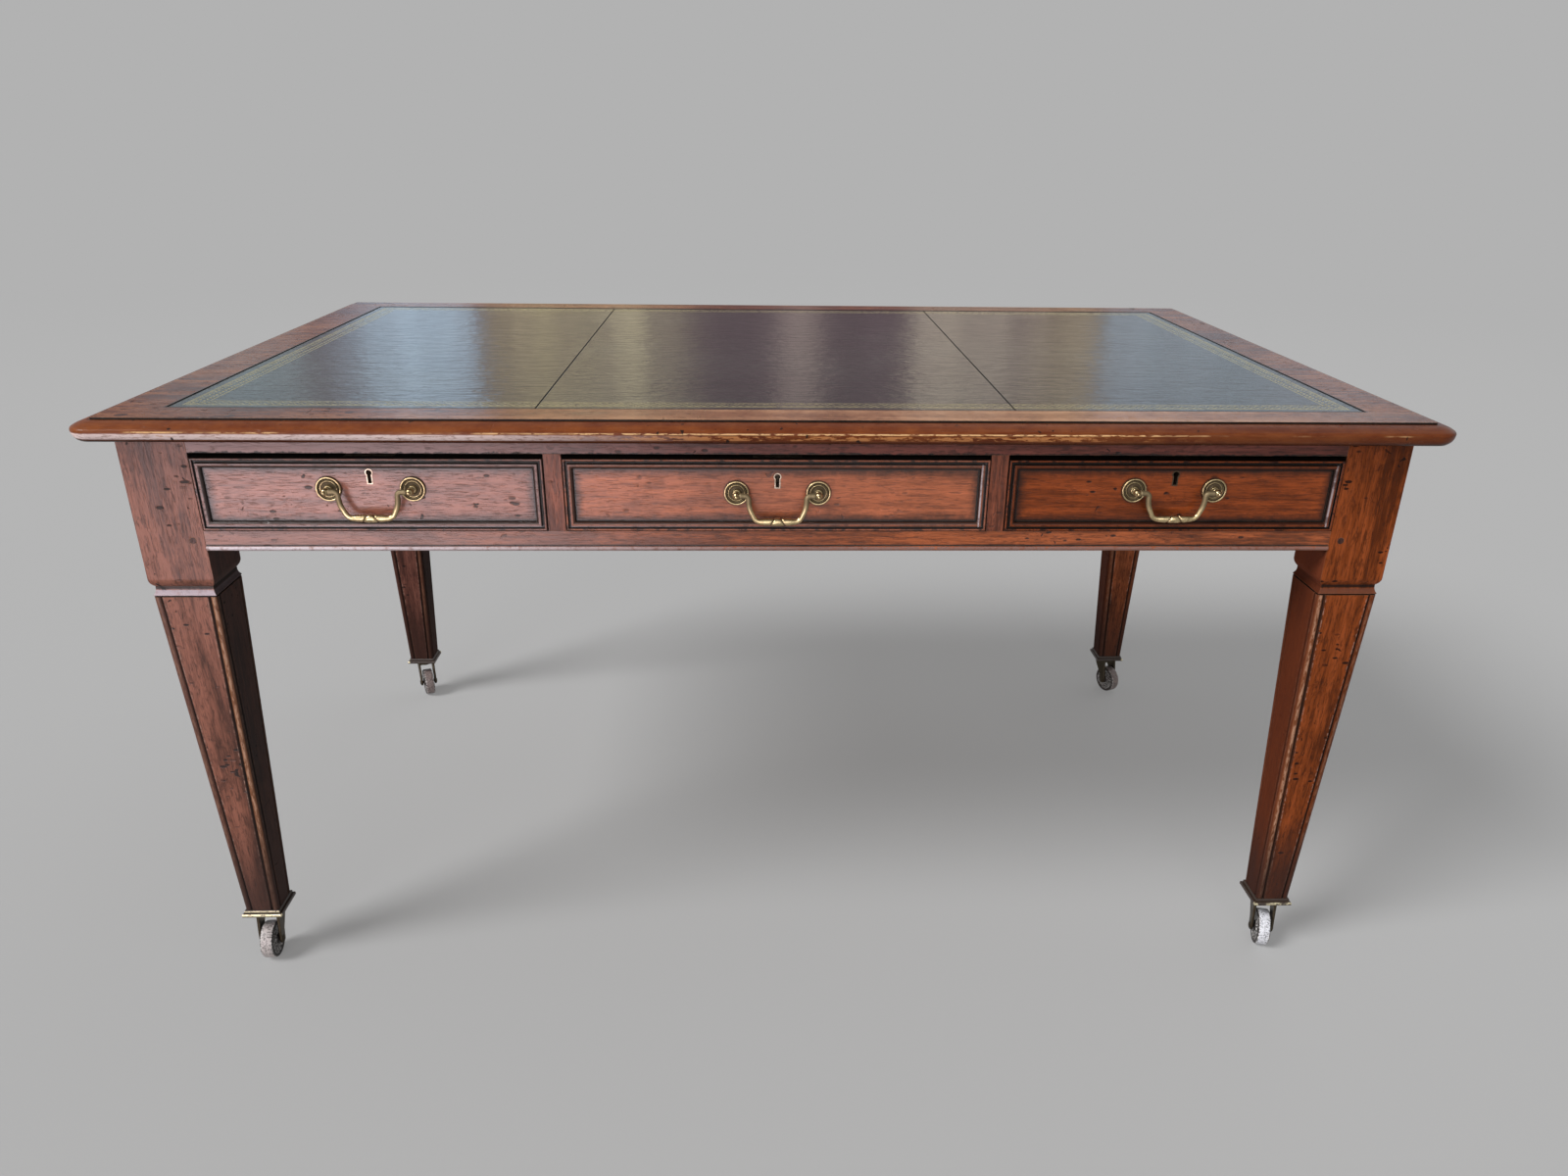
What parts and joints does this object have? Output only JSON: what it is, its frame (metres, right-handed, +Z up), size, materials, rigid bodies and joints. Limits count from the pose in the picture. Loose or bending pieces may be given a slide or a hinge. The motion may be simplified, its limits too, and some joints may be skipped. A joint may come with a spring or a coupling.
{
  "type": "partners desk",
  "caption": "Leather-topped mahogany partners desk with sliding drawers on both long sides, swinging brass bail handles, tapered beaded legs and swivelling castors.",
  "frame": {"origin": "on the floor under the middle of the top", "axes": "+X along the length of the top, -Y towards the near bank of drawers, +Z up"},
  "size_m": [1.524, 0.94, 0.753],
  "materials": {
    "mahogany": "old French polish, worn at the edges",
    "lining_wood": "plain oak, unpolished",
    "leather": "dark green skins with gilt tooling",
    "brass": "aged, rubbed bright on high edges",
    "steel": "dull",
    "castor_ceramic": "glazed, worn"
  },
  "bodies": {
    "desk": {"castor_plates": "brass", "centre_bearer": "lining_wood", "drawer_dividers": "mahogany", "drawer_guides": "lining_wood", "drawer_kickers": "lining_wood", "drawer_runners": "lining_wood", "drawer_stops": "lining_wood", "far_bottom_rail": "mahogany", "far_left_leg": "mahogany", "far_right_leg": "mahogany", "far_top_rail": "mahogany", "left_apron": "mahogany", "near_bottom_rail": "mahogany", "near_left_leg": "mahogany", "near_right_leg": "mahogany", "near_top_rail": "mahogany", "right_apron": "mahogany", "tenon_pegs": "mahogany", "top_board": "mahogany", "top_fixing_screws": "steel", "writing_leathers": "leather"},
    "near_left_drawer": {"near_left_drawer_front": "mahogany", "near_left_drawer_box": "lining_wood", "near_left_drawer_lock": "brass", "near_left_drawer_roses": "brass"},
    "near_left_drawer_bail": {"near_left_drawer_bail": "brass"},
    "near_centre_drawer": {"near_centre_drawer_front": "mahogany", "near_centre_drawer_box": "lining_wood", "near_centre_drawer_lock": "brass", "near_centre_drawer_roses": "brass"},
    "near_centre_drawer_bail": {"near_centre_drawer_bail": "brass"},
    "near_right_drawer": {"near_right_drawer_front": "mahogany", "near_right_drawer_box": "lining_wood", "near_right_drawer_lock": "brass", "near_right_drawer_roses": "brass"},
    "near_right_drawer_bail": {"near_right_drawer_bail": "brass"},
    "far_left_drawer": {"far_left_drawer_front": "mahogany", "far_left_drawer_box": "lining_wood", "far_left_drawer_lock": "brass", "far_left_drawer_roses": "brass"},
    "far_left_drawer_bail": {"far_left_drawer_bail": "brass"},
    "far_centre_drawer": {"far_centre_drawer_front": "mahogany", "far_centre_drawer_box": "lining_wood", "far_centre_drawer_lock": "brass", "far_centre_drawer_roses": "brass"},
    "far_centre_drawer_bail": {"far_centre_drawer_bail": "brass"},
    "far_right_drawer": {"far_right_drawer_front": "mahogany", "far_right_drawer_box": "lining_wood", "far_right_drawer_lock": "brass", "far_right_drawer_roses": "brass"},
    "far_right_drawer_bail": {"far_right_drawer_bail": "brass"},
    "near_left_castor": {"near_left_castor_horn": "brass"},
    "near_left_wheel": {"near_left_castor_wheel": "castor_ceramic"},
    "near_right_castor": {"near_right_castor_horn": "brass"},
    "near_right_wheel": {"near_right_castor_wheel": "castor_ceramic"},
    "far_left_castor": {"far_left_castor_horn": "brass"},
    "far_left_wheel": {"far_left_castor_wheel": "castor_ceramic"},
    "far_right_castor": {"far_right_castor_horn": "brass"},
    "far_right_wheel": {"far_right_castor_wheel": "castor_ceramic"}
  },
  "joints": [
    {"name": "near_left_drawer_slide", "type": "slide", "parent": "desk", "child": "near_left_drawer", "axis": [0, -1, 0], "range_m": [0, 0.3]},
    {"name": "near_left_drawer_bail_swing", "type": "hinge", "parent": "near_left_drawer", "child": "near_left_drawer_bail", "pos_m": [-0.45725, -0.448, 0.67005], "axis": [-1, 0, 0], "range_deg": [-8, 170]},
    {"name": "near_centre_drawer_slide", "type": "slide", "parent": "desk", "child": "near_centre_drawer", "axis": [0, -1, 0], "range_m": [0, 0.3]},
    {"name": "near_centre_drawer_bail_swing", "type": "hinge", "parent": "near_centre_drawer", "child": "near_centre_drawer_bail", "pos_m": [0, -0.448, 0.66605], "axis": [-1, 0, 0], "range_deg": [-8, 170]},
    {"name": "near_right_drawer_slide", "type": "slide", "parent": "desk", "child": "near_right_drawer", "axis": [0, -1, 0], "range_m": [0, 0.3]},
    {"name": "near_right_drawer_bail_swing", "type": "hinge", "parent": "near_right_drawer", "child": "near_right_drawer_bail", "pos_m": [0.45725, -0.448, 0.67005], "axis": [-1, 0, 0], "range_deg": [-8, 170]},
    {"name": "far_left_drawer_slide", "type": "slide", "parent": "desk", "child": "far_left_drawer", "axis": [0, 1, 0], "range_m": [0, 0.3]},
    {"name": "far_left_drawer_bail_swing", "type": "hinge", "parent": "far_left_drawer", "child": "far_left_drawer_bail", "pos_m": [-0.45725, 0.448, 0.67005], "axis": [1, 0, 0], "range_deg": [-8, 170]},
    {"name": "far_centre_drawer_slide", "type": "slide", "parent": "desk", "child": "far_centre_drawer", "axis": [0, 1, 0], "range_m": [0, 0.3]},
    {"name": "far_centre_drawer_bail_swing", "type": "hinge", "parent": "far_centre_drawer", "child": "far_centre_drawer_bail", "pos_m": [0, 0.448, 0.66605], "axis": [1, 0, 0], "range_deg": [-8, 170]},
    {"name": "far_right_drawer_slide", "type": "slide", "parent": "desk", "child": "far_right_drawer", "axis": [0, 1, 0], "range_m": [0, 0.3]},
    {"name": "far_right_drawer_bail_swing", "type": "hinge", "parent": "far_right_drawer", "child": "far_right_drawer_bail", "pos_m": [0.45725, 0.448, 0.67005], "axis": [1, 0, 0], "range_deg": [-8, 170]},
    {"name": "near_left_castor_swivel", "type": "hinge", "parent": "desk", "child": "near_left_castor", "pos_m": [-0.6895, -0.3975, 0.0665], "axis": [0, 0, 1], "continuous": true},
    {"name": "near_left_wheel_roll", "type": "hinge", "parent": "near_left_castor", "child": "near_left_wheel", "pos_m": [-0.68887, -0.40948, 0.025], "axis": [0.9986, 0.0523, 0], "continuous": true},
    {"name": "near_right_castor_swivel", "type": "hinge", "parent": "desk", "child": "near_right_castor", "pos_m": [0.6895, -0.3975, 0.0665], "axis": [0, 0, 1], "continuous": true},
    {"name": "near_right_wheel_roll", "type": "hinge", "parent": "near_right_castor", "child": "near_right_wheel", "pos_m": [0.6868, -0.40919, 0.025], "axis": [0.9744, -0.225, 0], "continuous": true},
    {"name": "far_left_castor_swivel", "type": "hinge", "parent": "desk", "child": "far_left_castor", "pos_m": [-0.6895, 0.3975, 0.0665], "axis": [0, 0, 1], "continuous": true},
    {"name": "far_left_wheel_roll", "type": "hinge", "parent": "far_left_castor", "child": "far_left_wheel", "pos_m": [-0.68481, 0.38645, 0.025], "axis": [0.9205, 0.3907, 0], "continuous": true},
    {"name": "far_right_castor_swivel", "type": "hinge", "parent": "desk", "child": "far_right_castor", "pos_m": [0.6895, 0.3975, 0.0665], "axis": [0, 0, 1], "continuous": true},
    {"name": "far_right_wheel_roll", "type": "hinge", "parent": "far_right_castor", "child": "far_right_wheel", "pos_m": [0.69457, 0.38662, 0.025], "axis": [0.9063, 0.4226, 0], "continuous": true}
  ]
}
